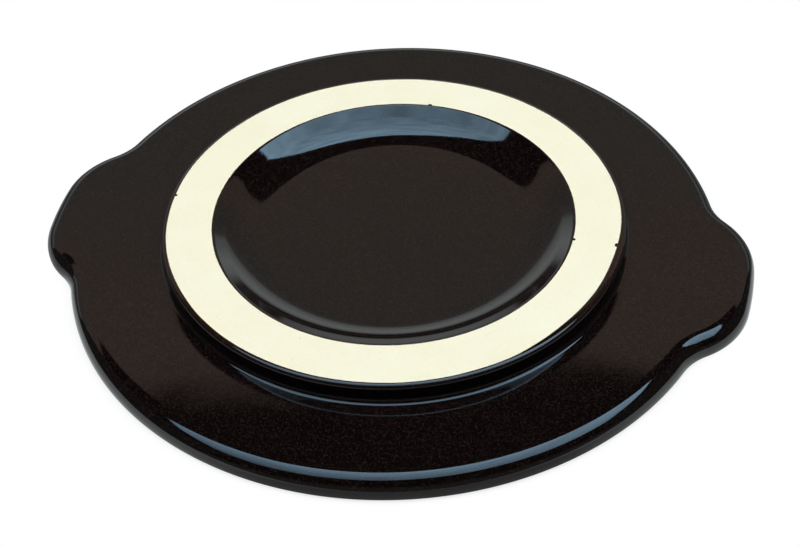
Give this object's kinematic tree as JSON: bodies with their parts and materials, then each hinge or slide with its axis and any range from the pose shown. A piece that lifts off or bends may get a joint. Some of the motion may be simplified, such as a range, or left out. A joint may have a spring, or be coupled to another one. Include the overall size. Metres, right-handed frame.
{
  "type": "crock lid",
  "caption": "Round glazed stoneware lid with a bare raised locating ring, a glazed recess inside it and two side lugs.",
  "frame": {"origin": "centre of the flat top face, on the surface that the lid lies on", "axes": "+X from lug to lug, +Z out of the underside towards the locating ring, +Y across"},
  "size_m": [0.296, 0.2705, 0.016],
  "materials": {
    "bare_clay": "bare fired stoneware, matt, cream",
    "brown_glaze": "glossy dark brown stoneware glaze"
  },
  "bodies": {
    "root": {"clay_body": "bare_clay", "top_glaze": "brown_glaze", "underside_glaze": "brown_glaze", "recess_glaze": "brown_glaze"}
  },
  "joints": []
}
